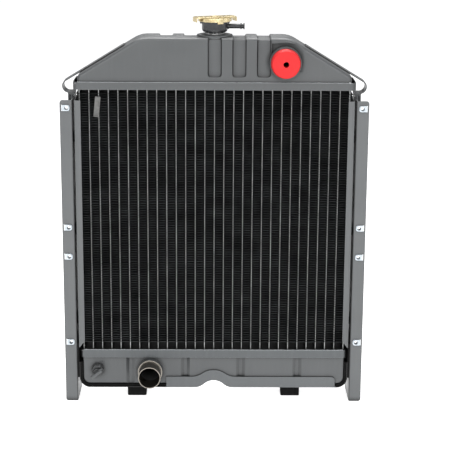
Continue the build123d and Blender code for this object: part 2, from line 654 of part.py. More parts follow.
# ---------------------------------------------------------------- side brackets
def side_bracket():
    """Right-hand bracket: a long channel, open outwards, with its wide flange at the front."""
    deep, top = BRACKET_HALF_DEEP, BRACKET_TOP
    web_outer = WEB_INNER + WEB_THICK
    section = make_face(Polyline(
        (WEB_INNER, -deep), (FLANGE_OUTER, -deep), (FLANGE_OUTER, -deep + WEB_THICK),
        (web_outer, -deep + WEB_THICK), (web_outer, deep - WEB_THICK), (REAR_FLANGE_OUTER, deep - WEB_THICK),
        (REAR_FLANGE_OUTER, deep), (WEB_INNER, deep), close=True,
    ))
    outside = [v for v in section.vertices() if v.X < WEB_INNER + 0.1]
    section = fillet(outside, 3.0)
    inside = [v for v in section.vertices() if abs(v.X - web_outer) < 0.1]
    bracket = extrude(fillet(inside, 1.0), top)
    for z in (0, top):
        tips = [e for e in bracket.edges().filter_by(Axis.Y)
                if e.center().X > REAR_FLANGE_OUTER - 1 and abs(e.center().Z - z) < 0.1]
        bracket = fillet(tips, 4.5)
    relief = Polygon((WEB_INNER - 1, 101), (WEB_INNER + 0.6, 97), (WEB_INNER + 1.9, 90),
                     (WEB_INNER + 1.9, 68), (WEB_INNER - 1, 38), align=None)
    bracket -= front_prism(relief, -deep - 1, -deep + 9)
    for z in CLIP_HEIGHTS:
        bracket -= rod_y(CLIP_X, z, 3.4, -deep - 1, -deep + WEB_THICK + 1)
        bracket -= block(CLIP_X + 6, CLIP_X + 8.4, -deep - 1, -deep + WEB_THICK + 1, z - 5.6, z + 5.6)
    for z, y in [(55, -16), (55, 16)] + frame_rivet_places() + hanger_rivet_places():
        bracket -= rod_x(y, z, 3.05, WEB_INNER - 1, web_outer + 1)
    return bracket


def clip_nut(z):
    """Spring clip through the flange's slot: a front leg, a rear leg and a threaded barrel."""
    front, rear = -BRACKET_HALF_DEEP, -BRACKET_HALF_DEEP + WEB_THICK
    left, right = CLIP_X - 5.6, CLIP_X + 7.6
    clip = block(left, right, front - 0.9, front, z - 5.1, z + 5.1)
    clip += block(left, right, rear, rear + 0.9, z - 5.1, z + 5.1)
    clip += block(right - 1.2, right, front - 0.9, rear + 0.9, z - 5.1, z + 5.1)
    corners = [e for e in clip.edges().filter_by(Axis.Y) if e.center().X < left + 0.1]
    clip = fillet(corners, 4.0)
    clip += rod_y(CLIP_X, z, 4.8, front - 1.7, front)
    clip += rod_y(CLIP_X, z, 4.3, rear, rear + 5.0)
    clip -= rod_y(CLIP_X, z, 3.3, front - 3, front + 0.5)
    return clip - rod_y(CLIP_X, z, CLIP_THREAD_RADIUS, front, rear + 7)


def clip_nuts():
    return Compound([clip_nut(z) for z in CLIP_HEIGHTS])


def frame_rivet_places():
    return [(z, y) for z in (140, 300, 460) for y in (-14, 14)]


def frame_rivets():
    """Rivets that hold the core's side plates to the brackets' webs."""
    inner = PLATE_OUTER - PLATE_SHEET
    web_outer = WEB_INNER + WEB_THICK
    rivets = []
    for z, y in frame_rivet_places():
        rivet = rod_x(y, z, 3, inner, web_outer + 1) + rod_x(y, z, 6, web_outer, web_outer + 2.6)
        head = [e for e in rivet.edges().filter_by(GeomType.CIRCLE) if e.center().X > web_outer + 2.5]
        rivet = fillet(head, 1.6)
        rivets += [rivet, left_of(rivet)]
    return Compound(rivets)


def frame_spacers():
    spacers = []
    for z, y in frame_rivet_places():
        spacer = rod_x(y, z, 7, PLATE_OUTER, WEB_INNER) - rod_x(y, z, 3.05, 220, 240)
        spacers += [spacer, left_of(spacer)]
    return Compound(spacers)


def drilled_side_plate():
    plate = side_plate()
    for z, y in frame_rivet_places():
        plate -= rod_x(y, z, 3.05, PLATE_OUTER - 4, PLATE_OUTER + 1)
    return plate


# ---------------------------------------------------------------- straps
def strap():
    """Right-hand strap: it lies on the tank's slope, loops round its shoulder and tucks in below it."""
    run = Vector(TOP_TANK_HALF_WIDE - TOP_TANK_FLAT_HALF, TOP_TANK_SHOULDER - TOP_TANK_TOP)
    along = run.normalized()
    normal = Vector(-along.Y, along.X)
    foot = Vector(TOP_TANK_HALF_WIDE, TOP_TANK_SHOULDER)
    start = foot - along * (TOP_TANK_HALF_WIDE - STRAP_START) / along.X
    loop = Vector(LOOP_X, LOOP_Z)
    half = STRAP_THICK / 2
    lift = loop_lift(foot, normal, loop)
    inner_start = start + normal * (lift - half)
    edges = []
    for radius, shift in ((LOOP_RADIUS - half, lift - half), (LOOP_RADIUS + half, lift + half)):
        begin = start + normal * shift
        turn = loop + normal * radius
        bottom = loop - Vector(0, radius)
        end = Vector(WEB_INNER - 2.5, LOOP_Z - radius)
        outermost = loop + Vector(radius, 0)
        edges.append((begin, turn, outermost, bottom, end))
    (a0, a1, a2, a3, a4), (b0, b1, b2, b3, b4) = edges
    outline = [
        Line(a0, a1), ThreePointArc(a1, a2, a3), Line(a3, a4), Line(a4, b4),
        Line(b4, b3), ThreePointArc(b3, b2, b1), Line(b1, b0), Line(b0, a0),
    ]
    return front_prism(make_face(outline), -STRAP_HALF_WIDE, STRAP_HALF_WIDE)


def loop_lift(foot, normal, loop):
    """How far the strap's middle line stands off the slope's line, measured at the loop."""
    return (loop - foot).dot(normal) + LOOP_RADIUS


def hanger_rivet_places():
    return [(z, 0) for z in (490, 503)]


def strap_hanger():
    """Right-hand hanger: a bent strip from the bracket's web up to the strap's lower arm."""
    web_outer = WEB_INNER + WEB_THICK
    top = LOOP_Z - LOOP_RADIUS - STRAP_THICK / 2
    thick = HANGER_THICK
    outline = Polygon(
        (web_outer, 482), (web_outer + thick, 482), (web_outer + thick, 509), (HANGER_INNER + thick, 519),
        (HANGER_INNER + thick, top), (WEB_INNER - 2.5, top), (WEB_INNER - 2.5, top - thick),
        (HANGER_INNER, top - thick), (HANGER_INNER, 520), (web_outer, 510), align=None,
    )
    body = front_prism(outline, -STRAP_HALF_WIDE + 1, STRAP_HALF_WIDE - 1)
    for z, y in hanger_rivet_places():
        body -= rod_x(y, z, 3.05, WEB_INNER, web_outer + thick + 1)
    return body


def hanger_rivets():
    web_outer = WEB_INNER + WEB_THICK
    face = web_outer + HANGER_THICK
    rivets = []
    for z, y in hanger_rivet_places():
        rivet = rod_x(y, z, 3, WEB_INNER, face + 1) + rod_x(y, z, 5.5, face, face + 2.4)
        head = [e for e in rivet.edges().filter_by(GeomType.CIRCLE) if e.center().X > face + 2.3]
        rivet = fillet(head, 1.5)
        rivets += [rivet, left_of(rivet)]
    return Compound(rivets)


# ---------------------------------------------------------------- feet
def rubber_foot(x):
    """Rubber block with a blind locating socket below and a stud let in from above."""
    foot = extrude(RectangleRounded(FOOT_WIDE, FOOT_DEEP, 3), CRADLE_LOW)
    foot = fillet(foot.faces().sort_by(Axis.Z)[0].edges(), 1.5)
    foot -= rod_z(0, 0, FOOT_STUD_RADIUS + 0.05, FOOT_STUD_LOW, CRADLE_LOW + 1)
    foot -= rod_z(0, 0, FOOT_SOCKET_RADIUS, -1, FOOT_SOCKET_DEEP)
    return Pos(x, 0, 0) * foot


def foot_studs():
    studs = [rod_z(side * FOOT_X, 0, FOOT_STUD_RADIUS, FOOT_STUD_LOW, CRADLE_LOW) for side in (-1, 1)]
    return Compound(studs)


# ---------------------------------------------------------------- all parts
def build_parts():
    parts = {
        "top_tank": top_tank(),
        "top_header": top_header(),
        "bottom_header": bottom_header(),
        "bottom_tank": bottom_tank(),
        "fin_pack": fin_pack(),
        "core_tag": core_tag(),
        "inlet_pipe": inlet_pipe(),
        "inlet_plug": inlet_plug(),
        "outlet_collar": outlet_collar(),
        "outlet_pipe": outlet_pipe(),
        "neck_saddle": neck_saddle(),
        "filler_neck": filler_neck(),
        "overflow_pipe": overflow_pipe(),
        "upper_gasket": upper_gasket(),
        "cap_diaphragm": cap_diaphragm(),
        "cap_shell": cap_shell(),
        "cap_stem": cap_stem(),
        "valve_bell": valve_bell(),
        "valve_plate": valve_plate(),
        "valve_seal": valve_seal(),
        "vacuum_valve": vacuum_valve(),
        "pressure_spring": pressure_spring(),
        "vacuum_spring": vacuum_spring(),
        "drain_boss": drain_boss(),
        "drain_body": drain_body(),
        "drain_tip": drain_tip(),
        "drain_tap": drain_tap(),
        "bottom_cushion": bottom_cushion(),
        "cradle": cradle(),
        "cradle_rivets": cradle_rivets(),
        "end_packings": end_packings(),
        "frame_rivets": frame_rivets(),
        "frame_spacers": frame_spacers(),
        "hanger_rivets": hanger_rivets(),
        "foot_studs": foot_studs(),
        "rubber_foot_left": rubber_foot(-FOOT_X),
        "rubber_foot_right": rubber_foot(FOOT_X),
    }
    for row, y in TUBE_ROWS.items():
        parts[f"tubes_{row}"] = tubes(y)
    pairs = {
        "side_plate": drilled_side_plate(),
        "side_bracket": side_bracket(),
        "clip_nuts": clip_nuts(),
        "strap": strap(),
        "strap_hanger": strap_hanger(),
    }
    for name, piece in pairs.items():
        parts[f"{name}_right"] = piece
        parts[f"{name}_left"] = left_of(piece)
    return parts


if __name__ == "__main__":
    os.makedirs("parts", exist_ok=True)
    for name, piece in build_parts().items():
        export_step(piece, f"parts/{name}.step")
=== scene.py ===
"""Looks for the radiator: camera, studio, materials, fin plates, solder and the cap's two coil springs.

The frame is the part's own: +Z up, front towards -Y. Lengths are in metres, except that the points of the new
pieces are laid out in millimetres, which new_piece turns into metres.
"""
import json
import math
import random

import bpy
from mathutils import Matrix, Vector


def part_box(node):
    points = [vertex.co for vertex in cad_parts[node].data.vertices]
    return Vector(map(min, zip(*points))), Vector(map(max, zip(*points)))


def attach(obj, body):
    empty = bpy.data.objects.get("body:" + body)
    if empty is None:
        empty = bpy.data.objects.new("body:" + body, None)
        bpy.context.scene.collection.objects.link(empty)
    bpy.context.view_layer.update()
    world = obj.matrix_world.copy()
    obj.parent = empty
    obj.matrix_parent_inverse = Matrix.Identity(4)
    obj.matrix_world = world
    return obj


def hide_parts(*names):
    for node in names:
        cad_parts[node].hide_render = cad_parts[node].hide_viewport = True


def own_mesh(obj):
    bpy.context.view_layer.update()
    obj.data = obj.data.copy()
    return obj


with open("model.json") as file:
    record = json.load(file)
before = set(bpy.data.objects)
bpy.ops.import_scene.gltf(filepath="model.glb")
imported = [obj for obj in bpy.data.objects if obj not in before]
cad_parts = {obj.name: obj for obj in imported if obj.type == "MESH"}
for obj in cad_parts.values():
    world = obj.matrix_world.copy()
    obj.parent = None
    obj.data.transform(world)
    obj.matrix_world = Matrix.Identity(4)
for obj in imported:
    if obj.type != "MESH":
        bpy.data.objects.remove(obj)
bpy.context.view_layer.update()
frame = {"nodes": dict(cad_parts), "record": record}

MM = 0.001
random.seed(7)


# ---------------------------------------------------------------- camera and studio
SOFTBOXES = (
    # name, place, aimed at, size, watts
    ("overhead", (0, 0.1, 2.3), (0, 0, 0.4), (2.0, 1.6), 40),
    ("front_left", (-0.9, -2.9, 1.6), (0, 0, 0.35), (1.2, 1.2), 34),
    ("front_right", (0.9, -2.9, 1.3), (0, 0, 0.35), (1.0, 1.2), 28),
    ("side_left", (-2.9, -0.2, 1.3), (0, 0, 0.35), (1.6, 1.6), 17),
    ("side_right", (2.9, -0.2, 1.3), (0, 0, 0.35), (1.6, 1.6), 17),
    ("behind", (0, 2.2, 2.6), (0, 0, 0.4), (1.6, 1.0), 34),
)
SKY, SKY_STRENGTH = (0.97, 0.985, 1, 1), 0.24
FLOOR_HALF = 120
FLOOR_WHITE, FLOOR_ROUGHNESS, FLOOR_GLOW = (0.9, 0.9, 0.9, 1), 0.8, 0.84


def add_camera():
    """Long lens a little above the top tank's height, looking down at the front."""
    pitch, yaw, roll = math.radians(14.65), math.radians(0.58), math.radians(0.34)
    target, distance = Vector((0.0204, 0, 0.3045)), 2.4893
    ahead = Vector((math.sin(yaw) * math.cos(pitch), math.cos(yaw) * math.cos(pitch), -math.sin(pitch)))
    level = Vector((math.cos(yaw), -math.sin(yaw), 0))
    upright = level.cross(ahead)
    right = math.cos(roll) * level + math.sin(roll) * upright
    up = -math.sin(roll) * level + math.cos(roll) * upright
    data = bpy.data.cameras.new("camera")
    data.lens = 115.64
    data.sensor_width = 36
    camera = bpy.data.objects.new("camera", data)
    turn = Matrix((right, up, -ahead)).transposed().to_4x4()
    camera.matrix_world = Matrix.Translation(target - ahead * distance) @ turn
    bpy.context.scene.collection.objects.link(camera)
    bpy.context.scene.camera = camera


def add_softbox(name, place, aim, size, power):
    """A rectangular light of that many watts, turned to face aim."""
    data = bpy.data.lights.new(name, "AREA")
    data.shape = "RECTANGLE"
    data.size, data.size_y = size
    data.energy = power
    lamp = bpy.data.objects.new(name, data)
    lamp.location = place
    lamp.rotation_euler = (Vector(aim) - Vector(place)).to_track_quat("-Z", "Y").to_euler()
    bpy.context.scene.collection.objects.link(lamp)


def add_lights():
    """A faint even sky and softboxes on every side, shown without a film look."""
    scene = bpy.context.scene
    scene.view_settings.view_transform = "Standard"
    world = bpy.data.worlds.new("studio")
    world.use_nodes = True
    sky = world.node_tree.nodes["Background"]
    sky.inputs["Color"].default_value = SKY
    sky.inputs["Strength"].default_value = SKY_STRENGTH
    scene.world = world
    for softbox in SOFTBOXES:
        add_softbox(*softbox)


def add_floor():
    """A white floor that glows, so that it meets the background without a line, and reaches the horizon."""
    floor = bpy.data.meshes.new("floor")
    corners = [(-1, -1), (1, -1), (1, 1), (-1, 1)]
    floor.from_pydata([(FLOOR_HALF * x, FLOOR_HALF * y, 0) for x, y in corners], [], [(0, 1, 2, 3)])
    table = bpy.data.objects.new("floor", floor)
    bpy.context.scene.collection.objects.link(table)
    paint = bpy.data.materials.new("floor")
    paint.use_nodes = True
    shader = paint.node_tree.nodes["Principled BSDF"]
    shader.inputs["Base Color"].default_value = FLOOR_WHITE
    shader.inputs["Roughness"].default_value = FLOOR_ROUGHNESS
    shader.inputs["Emission Color"].default_value = (1, 1, 1, 1)
    shader.inputs["Emission Strength"].default_value = FLOOR_GLOW
    floor.materials.append(paint)


# ---------------------------------------------------------------- materials
GREY = (0.065, 0.069, 0.0715)
FRAME_GREY = (0.094, 0.099, 0.102)
BARE_STEEL = (0.30, 0.275, 0.24)
# Black core paint, and black as painted shade on the cradle behind and beside its apron.
BLACK_PAINT_AND_SHADE = (0.008, 0.008, 0.008)
# The first is dust that also stands in as a painted sheen on what faces up; the second is thin dust on gloss
# black.
DUST_AND_SHEEN, THIN_DUST = (0.52, 0.52, 0.525), (0.4, 0.4, 0.4)
EDGE_SAMPLES = 6
MIX_FIRST, MIX_SECOND, MIX_RESULT = 6, 7, 2    # the mix node's own sockets for colours

# How far the outer tubes, the fins, and the headers and cradle reach from the core's middle, front and back.
TUBE_REACH, FIN_REACH, HEADER_REACH = 29.0 * MM, 32.0 * MM, 36.0 * MM
APRON_LEFT, APRON_RIGHT = -82 * MM, 211 * MM
INLET_RIM, COLLAR_RIM, OUTLET_RIM = -52.6 * MM, -40.6 * MM, -69.5 * MM    # just behind each mouth, along Y


class Shader:
    """A node material, built up one node at a time."""

    def __init__(self, name, roughness, metallic=0.0, **sockets):
        self.material = bpy.data.materials.new(name)
        self.material.use_nodes = True
        self.tree = self.material.node_tree
        self.end = self.tree.nodes["Principled BSDF"]
        self.end.inputs["Roughness"].default_value = roughness
        self.end.inputs["Metallic"].default_value = metallic
        for socket, value in sockets.items():
            self.end.inputs[socket.replace("_", " ")].default_value = value
        self.place = self.node("ShaderNodeTexCoord").outputs["Object"]

    def node(self, kind, settings=(), **inputs):
        made = self.tree.nodes.new(kind)
        for name, value in dict(settings).items():
            setattr(made, name, value)
        for name, value in inputs.items():
            self.put(made.inputs[name.replace("_", " ")], value)
        return made

    def put(self, socket, value):
        """Links another node's output to the socket, or sets the socket to a colour or a number."""
        if isinstance(value, bpy.types.NodeSocket):
            self.tree.links.new(value, socket)
        elif isinstance(value, tuple) and len(value) == 3 and socket.type == "RGBA":
            socket.default_value = (*value, 1)
        else:
            socket.default_value = value

    def math(self, operation, a, b=0.0):
        made = self.tree.nodes.new("ShaderNodeMath")
        made.operation = operation
        self.put(made.inputs[0], a)
        self.put(made.inputs[1], b)
        return made.outputs[0]

    def noise(self, scale, detail, stretch=None):
        place = self.place
        if stretch:
            place = self.node("ShaderNodeMapping", Vector=self.place, Scale=stretch).outputs[0]
        return self.node("ShaderNodeTexNoise", Vector=place, Scale=scale, Detail=detail).outputs["Fac"]

    def range(self, value, low, high, to_low, to_high):
        """Value from low to high becomes to_low to to_high, and is held there beyond them."""
        made = self.node("ShaderNodeMapRange", Value=value)
        for index, number in enumerate((low, high, to_low, to_high), 1):
            made.inputs[index].default_value = number
        return made.outputs[0]

    def patches(self, scale, detail, low=0, high=1, stretch=None):
        """Soft patches all over, between low and high."""
        return self.range(self.noise(scale, detail, stretch), 0.3, 0.7, low, high)

    def marks(self, scale, detail, start, full, most, stretch=None):
        """0 except where the noise passes start, and as much as most where it reaches full."""
        return self.range(self.noise(scale, detail, stretch), start, full, 0, most)

    def mix(self, amount, first, second):
        made = self.tree.nodes.new("ShaderNodeMix")
        made.data_type = "RGBA"
        self.put(made.inputs[0], amount)
        self.put(made.inputs[MIX_FIRST], first)
        self.put(made.inputs[MIX_SECOND], second)
        return made.outputs[MIX_RESULT]

    def normal(self):
        return self.node("ShaderNodeNewGeometry").outputs["Normal"]

    def upward(self):
        """0 on a wall and 1 on a surface that faces up."""
        return self.node("ShaderNodeSeparateXYZ", Vector=self.normal()).outputs["Z"]

    def depth(self):
        """How far back the point is, in metres: the frame's Y."""
        return self.node("ShaderNodeSeparateXYZ", Vector=self.place).outputs["Y"]

    def from_middle(self):
        """How far the point is from the middle of the core, front or back, in metres."""
        return self.math("ABSOLUTE", self.depth())

    def across(self):
        """How far to the right the point is, in metres: the frame's X."""
        return self.node("ShaderNodeSeparateXYZ", Vector=self.place).outputs["X"]

    def side_wall(self):
        """1 on a front-facing wall turned to the left or right, as a pressed groove's walls are; enamel
        paints shade there.
        """
        parts = self.node("ShaderNodeSeparateXYZ", Vector=self.normal())
        turned = self.range(self.math("ABSOLUTE", parts.outputs["X"]), 0.3, 0.75, 0, 1)
        return self.math("MULTIPLY", turned, self.range(parts.outputs["Y"], -0.5, -0.2, 1, 0))

    def rounded(self, width):
        """The normal, with sharp edges rounded off over that many metres."""
        return self.node("ShaderNodeBevel", {"samples": EDGE_SAMPLES}, Radius=width).outputs[0]

    def edges(self, width):
        """1 within that many metres of a sharp edge, inner or outer, and 0 on flat metal."""
        both = self.node("ShaderNodeVectorMath", {"operation": "DOT_PRODUCT"})
        self.put(both.inputs[0], self.rounded(width))
        self.put(both.inputs[1], self.normal())
        return self.range(both.outputs["Value"], 0.82, 0.985, 1, 0)

    def open_air(self, distance):
        """1 in the open and less in a crevice."""
        made = self.node("ShaderNodeAmbientOcclusion", {"samples": EDGE_SAMPLES}, Distance=distance)
        return made.outputs["AO"]

    def finish(self, colour, roughness, bump, depth, strength, soft_edge=0.0):
        """soft_edge rounds the shading of sharp edges over that many metres, as folded sheet has."""
        self.put(self.end.inputs["Base Color"], colour)
        self.put(self.end.inputs["Roughness"], roughness)
        made = self.node("ShaderNodeBump", Strength=strength, Distance=depth, Height=bump)
        if soft_edge:
            self.put(made.inputs["Normal"], self.rounded(soft_edge))
        self.put(self.end.inputs["Normal"], made.outputs["Normal"])
        return self.material


def shade(colour, times):
    return tuple(min(1.0, c * times) for c in colour)


def enamel(name, colour, roughness=0.36, dust_and_sheen=0.17, edge=1.2 * MM, shine=0.5, dirt_and_shade=0.96, black_where=None):
    """Sprayed satin enamel: orange peel, faint runs, dust and painted sheen on top, rubbed edges with a
    painted highlight, painted shade on walls turned to the side, and grime and painted shade in the seams.

    The dust amount is how much dust and painted sheen at most cover what faces up, and the dirt amount how
    much grime and painted shade at most darken the crevices; edge is the width that is rubbed and
    highlighted, and shine sets the specular level and the coat. black_where(shader) is 1 where the grey turns
    black, which on the cradle is painted shade.
    """
    s = Shader(name, roughness, Coat_Weight=0.24 * shine, Coat_Roughness=0.22, Specular_IOR_Level=shine)
    body = s.mix(s.patches(9, 5), shade(colour, 0.93), shade(colour, 1.07))
    runs = s.marks(60, 2, 0.5, 0.75, 0.16, (3, 3, 0.35))
    body = s.mix(runs, body, shade(colour, 1.35))
    speck = s.marks(900, 1, 0.76, 0.82, 0.5)
    body = s.mix(speck, body, shade(colour, 1.9))
    # Dust, and a painted sheen: what faces up is made lighter, as the lamps above light it.
    level = s.range(s.upward(), 0.35, 1.0, 0, dust_and_sheen)
    uneven = s.range(s.noise(45, 4), 0.2, 0.8, 0.6, 1)
    body = s.mix(s.math("MULTIPLY", level, uneven), body, DUST_AND_SHEEN)
    clear = s.open_air(9 * MM)
    # Rubbed paint and a painted highlight: sharp convex edges are made lighter, as the lit rims of pressed
    # sheet.
    rubbed_and_highlight = s.math("MULTIPLY", s.edges(edge), s.range(clear, 0.85, 0.97, 0, 0.85))
    body = s.mix(rubbed_and_highlight, body, shade(colour, 2.6))
    # Painted shade: walls turned to the left or right are darkened, as groove walls out of the frontal light.
    body = s.mix(s.math("MULTIPLY", s.side_wall(), 0.85), body, shade(colour, 0.12))
    # Grime and painted shade: darker in crevices and corners, where the ambient occlusion finds little open
    # air.
    grime_and_shade = s.range(clear, 0.62, 0.96, dirt_and_shade, 0)
    body = s.mix(grime_and_shade, body, shade(colour, 0.1))
    # Black where black_where is 1: inside the pan's rim, and as painted shade on the cradle.
    if black_where:
        body = s.mix(black_where(s), body, BLACK_PAINT_AND_SHADE)
    gloss = s.patches(30, 4, roughness - 0.07, roughness + 0.1)
    return s.finish(body, gloss, s.noise(700, 2), 0.12 * MM, 0.25, edge)


def rimmed(name, colour, rim_y, rim, roughness, metallic=0.0):
    """A pipe with a dark wash, whose cut end, in front of rim_y, is bare in the colour rim."""
    s = Shader(name, roughness)
    wash = s.patches(55, 5, stretch=(1, 0.4, 1))
    body = s.mix(wash, shade(colour, 0.72), shade(colour, 1.25))
    streak = s.marks(240, 3, 0.55, 0.75, 0.4, (1, 0.12, 1))
    body = s.mix(streak, body, shade(colour, 2.1))
    bare = s.math("LESS_THAN", s.depth(), rim_y)
    body = s.mix(bare, body, rim)
    s.put(s.end.inputs["Metallic"], s.math("MAXIMUM", s.math("MULTIPLY", bare, 0.55), metallic))
    gloss = s.patches(90, 4, roughness - 0.08, roughness + 0.12)
    return s.finish(body, gloss, s.noise(900, 2), 0.1 * MM, 0.3)


def core_black(name, colour):
    """Matt black core paint, worn grey and given a painted highlight along the fins' front and rear edges, in
    patches.
    """
    s = Shader(name, 0.62, Specular_IOR_Level=0.08)
    cloud = s.range(s.noise(14, 6), 0.35, 0.65, 0, 1)
    body = s.mix(cloud, shade(colour, 0.2), shade(colour, 0.6))
    # Wear and painted highlight: the fins' front and rear edges made lighter, as lit edges, in patches.
    edge = s.range(s.from_middle(), TUBE_REACH, FIN_REACH - 0.5 * MM, 0, 1)
    worn = s.math("MULTIPLY", edge, s.patches(38, 5, 0.3, 1, (0.5, 1, 1)))
    body = s.mix(worn, body, shade(colour, 12.0))
    return s.finish(body, s.patches(40, 3, 0.5, 0.75), s.noise(1200, 2), 0.1 * MM, 0.35)


def tube_metal(name, colour):
    """Flat tubes: dull metal on the outer rows' noses, which show between the fins, and black elsewhere."""
    s = Shader(name, 0.42, 0.25)
    worn = s.range(s.noise(160, 5, (1, 1, 0.25)), 0.36, 0.66, 0, 1)
    body = s.mix(worn, shade(colour, 0.7), shade(colour, 1.3))
    behind_nose = s.range(s.from_middle(), TUBE_REACH - 0.2 * MM, TUBE_REACH - 0.05 * MM, 1, 0)
    body = s.mix(behind_nose, body, BLACK_PAINT_AND_SHADE)
    return s.finish(body, s.patches(90, 3, 0.35, 0.55), s.noise(800, 2), 0.1 * MM, 0.3)


def gloss_black(name, colour):
    """Shiny black enamel with thin dust on what faces up."""
    s = Shader(name, 0.24, Coat_Weight=0.15, Coat_Roughness=0.12)
    body = s.mix(s.patches(60, 4), shade(colour, 0.8), shade(colour, 1.5))
    dusty = s.range(s.upward(), 0.4, 1.0, 0, 0.18)
    body = s.mix(dusty, body, THIN_DUST)
    return s.finish(body, s.patches(80, 4, 0.17, 0.34), s.noise(500, 2), 0.1 * MM, 0.25)


def plated(name, colour, roughness, tint):
    """Plate or bright metal: cloudy between the colour and the tint, dull spots, and grime and painted shade
    in crevices.
    """
    spangle = 160
    s = Shader(name, roughness, 0.85)
    cloud = s.range(s.noise(spangle, 4), 0.32, 0.68, 0, 1)
    body = s.mix(cloud, colour, tint)
    spots = s.marks(spangle * 6, 2, 0.62, 0.8, 0.35)
    body = s.mix(spots, body, shade(colour, 0.55))
    # Grime and painted shade: darker in crevices and corners.
    grime_and_shade = s.range(s.open_air(3 * MM), 0.2, 0.7, 0.6, 0)
    body = s.mix(grime_and_shade, body, shade(colour, 0.25))
    gloss = s.patches(spangle * 3, 3, roughness - 0.08, roughness + 0.12)
    return s.finish(body, gloss, s.noise(spangle * 8, 2), 0.06 * MM, 0.3)


def moulded(name, colour, roughness, mottle, scatter, shine):
    """Moulded plastic or rubber: fine mould texture, slight shade changes and faint scuffs.

    mottle is how far the shade changes, scatter how far light passes in, and shine the specular level.
    """
    s = Shader(name, roughness, Subsurface_Weight=scatter, Subsurface_Scale=2 * MM, Specular_IOR_Level=shine)
    body = s.mix(s.patches(70, 4), shade(colour, 1 - mottle), shade(colour, 1 + mottle))
    scuff = s.marks(420, 3, 0.62, 0.78, 0.25, (1, 1, 0.2))
    body = s.mix(scuff, body, tuple(c + (1 - c) * 0.06 for c in colour))
    gloss = s.patches(160, 3, roughness - 0.06, roughness + 0.1)
    return s.finish(body, gloss, s.noise(1500, 2), 0.08 * MM, 0.35)


def around_apron(s):
    """1 all over the cradle except on its front apron, which stays grey; the black there is painted shade
    under the tank.
    """
    behind = s.range(s.depth(), -HEADER_REACH + 0.1 * MM, -HEADER_REACH + 0.3 * MM, 0, 1)
    left = s.math("LESS_THAN", s.across(), APRON_LEFT)
    right = s.math("GREATER_THAN", s.across(), APRON_RIGHT)
    return s.math("MAXIMUM", behind, s.math("MAXIMUM", left, right))


def pan_floor(s):
    """1 inside the bottom header's rim where it faces up, and a little less elsewhere: where the grey turns
    black.
    """
    inside = s.range(s.from_middle(), HEADER_REACH - 1.4 * MM, HEADER_REACH - 1.0 * MM, 1, 0)
    return s.math("MULTIPLY", inside, s.range(s.upward(), -0.5, 0.5, 0.8, 1))


def make_materials():
    """One material for each of the record's slots."""
    return {
        "grey_paint": enamel("grey_paint", GREY),
        "frame_paint": enamel("frame_paint", FRAME_GREY, 0.42, edge=0.7 * MM),
        "core_black": core_black("core_black", (0.0064, 0.0068, 0.007)),
        "tube_metal": tube_metal("tube_metal", (0.34, 0.35, 0.345)),
        "neck_black": gloss_black("neck_black", (0.020, 0.021, 0.023)),
        "pipe_steel": rimmed("pipe_steel", (0.034, 0.030, 0.024), OUTLET_RIM, BARE_STEEL, 0.34, 0.3),
        "bright_zinc": plated("bright_zinc", (0.40, 0.45, 0.49), 0.36, (0.56, 0.60, 0.63)),
        "cap_gold": plated("cap_gold", (0.52, 0.41, 0.21), 0.28, (0.70, 0.60, 0.37)),
        "valve_brass": plated("valve_brass", (0.72, 0.52, 0.22), 0.30, (0.80, 0.62, 0.32)),
        "spring_steel": plated("spring_steel", (0.50, 0.50, 0.50), 0.28, (0.62, 0.62, 0.62)),
        "red_plastic": moulded("red_plastic", (0.60, 0.012, 0.014), 0.42, 0.05, 0.03, 0.3),
        "black_rubber": moulded("black_rubber", (0.004, 0.004, 0.004), 0.62, 0.25, 0.0, 0.1),
        "tag_metal": plated("tag_metal", (0.10, 0.10, 0.098), 0.5, (0.16, 0.16, 0.156)),
    }


def dress_nodes(materials):
    """Gives each CAD node the material of its slot, or one of its own where its paint differs or is painted
    lighter or darker as light or shade.
    """
    # Lighter and darker copies of the grey paint stand in for painted light and painted shade on some parts.
    cradle_lit_grey, pan_lit_grey, spacer_shade = shade(GREY, 1.68), shade(GREY, 1.65), shade(GREY, 0.1)
    special = {
        # The inlet pipe: a darker copy of the grey, painted shade round the plug.
        "inlet_pipe": rimmed("inlet_rim", shade(GREY, 0.6), INLET_RIM, shade(GREY, 1.3), 0.36),
        "outlet_collar": rimmed("collar_rim", shade(GREY, 0.8), COLLAR_RIM, BARE_STEEL, 0.36),
        # The cradle: its apron a lighter copy of the grey as painted light, and black painted shade
        # elsewhere.
        "cradle": enamel("cradle_paint", cradle_lit_grey, edge=0.4 * MM, shine=0.3, black_where=around_apron),
        # The bottom tank: a lighter copy of the grey, painted light.
        "bottom_tank": enamel("low_tank_paint", shade(GREY, 1.12)),
        # The bottom header: a lighter copy of the grey, painted light, and black inside its rim.
        "bottom_header": enamel("pan_paint", pan_lit_grey, shine=0.12, black_where=pan_floor),
        # The spacers, near black: painted shade in the gap between the tank and the brackets.
        "frame_spacers": enamel("spacer_painted_shade", spacer_shade, dust_and_sheen=0.0, edge=0.4 * MM, shine=0.1),
        # The straps: a darker copy of the frame grey, painted shade on their loops.
        "strap_left": enamel("strap_paint", shade(FRAME_GREY, 0.62), edge=0.5 * MM),
        # The saddle: a slightly darker copy of the grey, painted shade under the filler cup.
        "neck_saddle": enamel("saddle_paint", shade(GREY, 0.9), dust_and_sheen=0.05, dirt_and_shade=0.35),
    }
    special["strap_right"] = special["strap_left"]
    for part in frame["record"]["subparts"]:
        node = frame["nodes"][part["node"]]
        node.data.materials.clear()
        node.data.materials.append(special.get(part["node"], materials[part["material_slot"]]))


